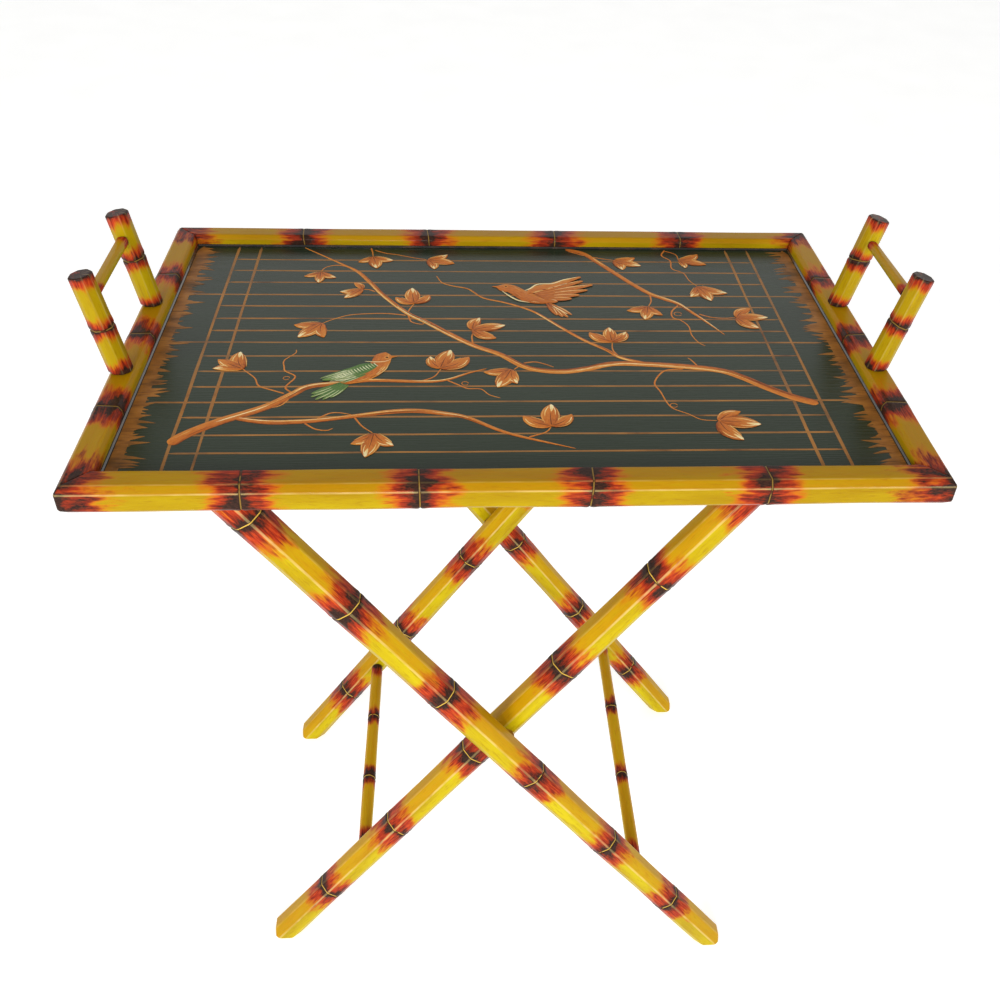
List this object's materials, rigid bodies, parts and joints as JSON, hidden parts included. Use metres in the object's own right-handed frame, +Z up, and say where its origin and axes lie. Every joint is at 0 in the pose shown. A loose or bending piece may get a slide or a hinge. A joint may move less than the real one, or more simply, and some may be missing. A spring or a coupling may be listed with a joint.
{
  "type": "butler's tray on folding stand",
  "caption": "Mitred faux-bamboo tray with a black lacquered painted panel and upright post handles, lifting off a folding X-shaped stand.",
  "frame": {"origin": "on the floor, under the middle of the tray", "axes": "+X along the tray's long side to the right of someone facing it, +Y from front to back, +Z up"},
  "size_m": [0.6859, 0.4456, 0.7946],
  "materials": {
    "bamboo_paint": "ochre faux-bamboo paint with red and black node bands under gloss varnish",
    "black_lacquer": "gloss black lacquer over horizontal grain, with copper and gold brushwork",
    "raw_wood": "bare hardwood",
    "dark_wood": "dark stain, satin",
    "steel": "plain steel",
    "brass": "plain brass"
  },
  "bodies": {
    "outer_frame": {"outer_leg_front": "bamboo_paint", "outer_leg_back": "bamboo_paint", "outer_top_rail": "bamboo_paint", "outer_stretcher": "bamboo_paint", "pivot_pin_front": "steel", "pivot_pin_back": "steel", "pivot_washer_front": "brass", "pivot_washer_back": "brass"},
    "inner_frame": {"inner_leg_front": "bamboo_paint", "inner_leg_back": "bamboo_paint", "inner_top_rail": "bamboo_paint", "inner_stretcher": "bamboo_paint"},
    "tray": {"tray_panel": "black_lacquer", "rail_front": "bamboo_paint", "rail_right": "bamboo_paint", "rail_back": "bamboo_paint", "rail_left": "bamboo_paint", "bead_front": "black_lacquer", "bead_right": "black_lacquer", "bead_back": "black_lacquer", "bead_left": "black_lacquer", "corner_spline_front_left": "raw_wood", "corner_spline_front_right": "raw_wood", "corner_spline_back_left": "raw_wood", "corner_spline_back_right": "raw_wood", "handle_post_left_front": "bamboo_paint", "handle_post_left_back": "bamboo_paint", "handle_post_right_front": "bamboo_paint", "handle_post_right_back": "bamboo_paint", "handle_bar_left": "bamboo_paint", "handle_bar_right": "bamboo_paint", "post_screw_left_front": "steel", "post_screw_left_back": "steel", "post_screw_right_front": "steel", "post_screw_right_back": "steel", "cleat_left": "dark_wood", "cleat_right": "dark_wood", "cleat_screw_left_front": "steel", "cleat_screw_left_back": "steel", "cleat_screw_right_front": "steel", "cleat_screw_right_back": "steel"}
  },
  "joints": [
    {"name": "stand_fold", "type": "hinge", "parent": "outer_frame", "child": "inner_frame", "pos_m": [-0.0044, 0, 0.3562], "axis": [0, -1, 0], "range_deg": [0, 64]},
    {"name": "tray_lift", "type": "slide", "parent": "outer_frame", "child": "tray", "axis": [0, 0, 1], "range_m": [0, 0.31]}
  ],
  "couplings": [
    {"joint": "tray_lift", "follows": "stand_fold", "m_per_rad": 0.27}
  ]
}
